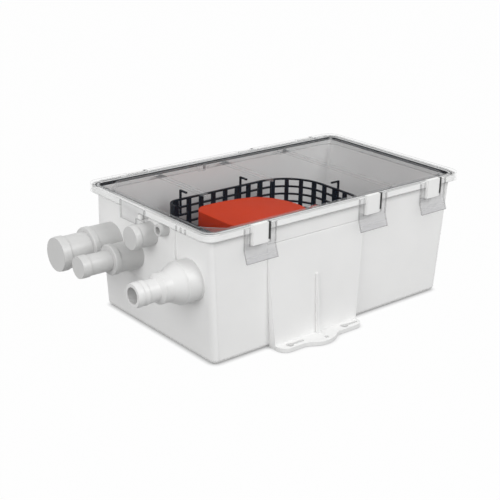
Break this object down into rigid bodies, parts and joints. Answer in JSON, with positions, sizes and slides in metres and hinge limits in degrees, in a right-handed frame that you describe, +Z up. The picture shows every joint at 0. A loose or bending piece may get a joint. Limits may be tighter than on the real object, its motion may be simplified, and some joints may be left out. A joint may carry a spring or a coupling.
{
  "type": "shower sump pump",
  "caption": "Drafted white plastic sump box with stepped side inlets, vent, hose outlet, clear clip-down lid, grid strainer and a red submersible pump with its float switch inside.",
  "frame": {"origin": "centre of the box's underside", "axes": "+X along the box away from the ports, +Y across it towards the large inlet's side, +Z up"},
  "size_m": [0.3832, 0.231, 0.129],
  "materials": {
    "box_plastic": "satin",
    "port_plastic": "satin",
    "clear_plastic": "gloss",
    "grid_plastic": "satin",
    "black_plastic": "matte",
    "pump_red": "satin",
    "rubber": "matte",
    "hose": "satin",
    "steel": "brushed",
    "can_steel": "satin",
    "magnet": "matte",
    "carbon": "matte",
    "bronze": "satin",
    "copper": "satin",
    "rotor_iron": "satin",
    "lead_red": "satin",
    "lead_white": "satin"
  },
  "bodies": {
    "sump": {"box_floor": "box_plastic", "box_sides": "box_plastic", "box_ends": "box_plastic", "box_rim": "box_plastic", "feet": "box_plastic", "inlet_stub_large": "port_plastic", "inlet_stub_small": "port_plastic", "vent_stub": "port_plastic", "cable_gland": "port_plastic", "cable_seal": "rubber", "outlet_collar": "port_plastic", "check_valve_body": "port_plastic", "flap_pin": "steel", "outlet_barb": "port_plastic", "outlet_seal": "rubber", "outlet_tail": "port_plastic", "discharge_hose": "hose", "hose_clamps": "steel", "clamp_screws": "steel", "discharge_elbow": "black_plastic", "pump_base": "black_plastic", "base_screws": "steel", "volute": "black_plastic", "shaft_seal": "rubber", "lower_bearing": "bronze", "upper_bearing": "bronze", "motor_can": "can_steel", "motor_magnets": "magnet", "end_bell": "black_plastic", "brushes": "carbon", "pump_housing": "pump_red", "float_pin": "steel", "switch_module": "black_plastic", "lead_gland": "black_plastic", "lead_red": "lead_red", "lead_white": "lead_white", "lead_clips": "black_plastic", "lead_connector": "black_plastic"},
    "lid_body": {"lid": "clear_plastic", "lid_gasket": "rubber"},
    "strainer": {"strainer_sides": "grid_plastic", "strainer_port_end": "grid_plastic", "strainer_far_end": "grid_plastic", "strainer_hooks": "grid_plastic"},
    "rotor": {"impeller": "port_plastic", "motor_shaft": "steel", "motor_rotor": "rotor_iron", "commutator": "copper"},
    "float_arm": {"float": "port_plastic", "float_magnet": "magnet"},
    "flap": {"check_flap": "rubber"},
    "cap": {"vent_cap": "port_plastic"},
    "clip_front_left_body": {"clip_front_left": "clear_plastic"},
    "clip_front_middle_body": {"clip_front_middle": "clear_plastic"},
    "clip_front_right_body": {"clip_front_right": "clear_plastic"},
    "clip_back_left_body": {"clip_back_left": "clear_plastic"},
    "clip_back_middle_body": {"clip_back_middle": "clear_plastic"},
    "clip_back_right_body": {"clip_back_right": "clear_plastic"},
    "clip_port_end_body": {"clip_port_end": "clear_plastic"}
  },
  "joints": [
    {"name": "lid_lift", "type": "slide", "parent": "sump", "child": "lid_body", "axis": [0, 0, 1], "range_m": [0, 0.3], "deforming": ["clip_front_left", "clip_front_middle", "clip_front_right", "clip_back_left", "clip_back_middle", "clip_back_right", "clip_port_end"]},
    {"name": "strainer_lift", "type": "slide", "parent": "sump", "child": "strainer", "axis": [0, 0, 1], "range_m": [0, 0.15]},
    {"name": "clip_front_left_hinge", "type": "hinge", "parent": "lid_body", "child": "clip_front_left_body", "pos_m": [-0.105, -0.0958, 0.1259], "axis": [-1, 0, 0], "range_deg": [0, 15], "stiffness_Nm_per_rad": 0.05},
    {"name": "clip_front_middle_hinge", "type": "hinge", "parent": "lid_body", "child": "clip_front_middle_body", "pos_m": [0.035, -0.0958, 0.1259], "axis": [-1, 0, 0], "range_deg": [0, 15], "stiffness_Nm_per_rad": 0.05},
    {"name": "clip_front_right_hinge", "type": "hinge", "parent": "lid_body", "child": "clip_front_right_body", "pos_m": [0.1206, -0.0958, 0.1259], "axis": [-1, 0, 0], "range_deg": [0, 15], "stiffness_Nm_per_rad": 0.05},
    {"name": "clip_back_left_hinge", "type": "hinge", "parent": "lid_body", "child": "clip_back_left_body", "pos_m": [-0.105, 0.0958, 0.1259], "axis": [1, 0, 0], "range_deg": [0, 15], "stiffness_Nm_per_rad": 0.05},
    {"name": "clip_back_middle_hinge", "type": "hinge", "parent": "lid_body", "child": "clip_back_middle_body", "pos_m": [0.035, 0.0958, 0.1259], "axis": [1, 0, 0], "range_deg": [0, 15], "stiffness_Nm_per_rad": 0.05},
    {"name": "clip_back_right_hinge", "type": "hinge", "parent": "lid_body", "child": "clip_back_right_body", "pos_m": [0.1206, 0.0958, 0.1259], "axis": [1, 0, 0], "range_deg": [0, 15], "stiffness_Nm_per_rad": 0.05},
    {"name": "clip_port_end_hinge", "type": "hinge", "parent": "lid_body", "child": "clip_port_end_body", "pos_m": [-0.1634, 0.01605, 0.1259], "axis": [0, 1, 0], "range_deg": [0, 15], "stiffness_Nm_per_rad": 0.05},
    {"name": "impeller_spin", "type": "hinge", "parent": "sump", "child": "rotor", "pos_m": [-0.0074, 0, 0.05], "axis": [0, 0, 1], "continuous": true},
    {"name": "float_swing", "type": "hinge", "parent": "sump", "child": "float_arm", "pos_m": [-0.04, 0, 0.024], "axis": [0, 1, 0], "range_deg": [0, 25]},
    {"name": "flap_swing", "type": "hinge", "parent": "sump", "child": "flap", "pos_m": [-0.17508, -0.0598, 0.0851], "axis": [0, 1, 0], "range_deg": [0, 45]},
    {"name": "cap_pull", "type": "slide", "parent": "sump", "child": "cap", "axis": [-1, 0, 0], "range_m": [0, 0.025]}
  ],
  "couplings": [
    {"joint": "strainer_lift", "follows": "lid_lift", "ratio": 0.5}
  ]
}
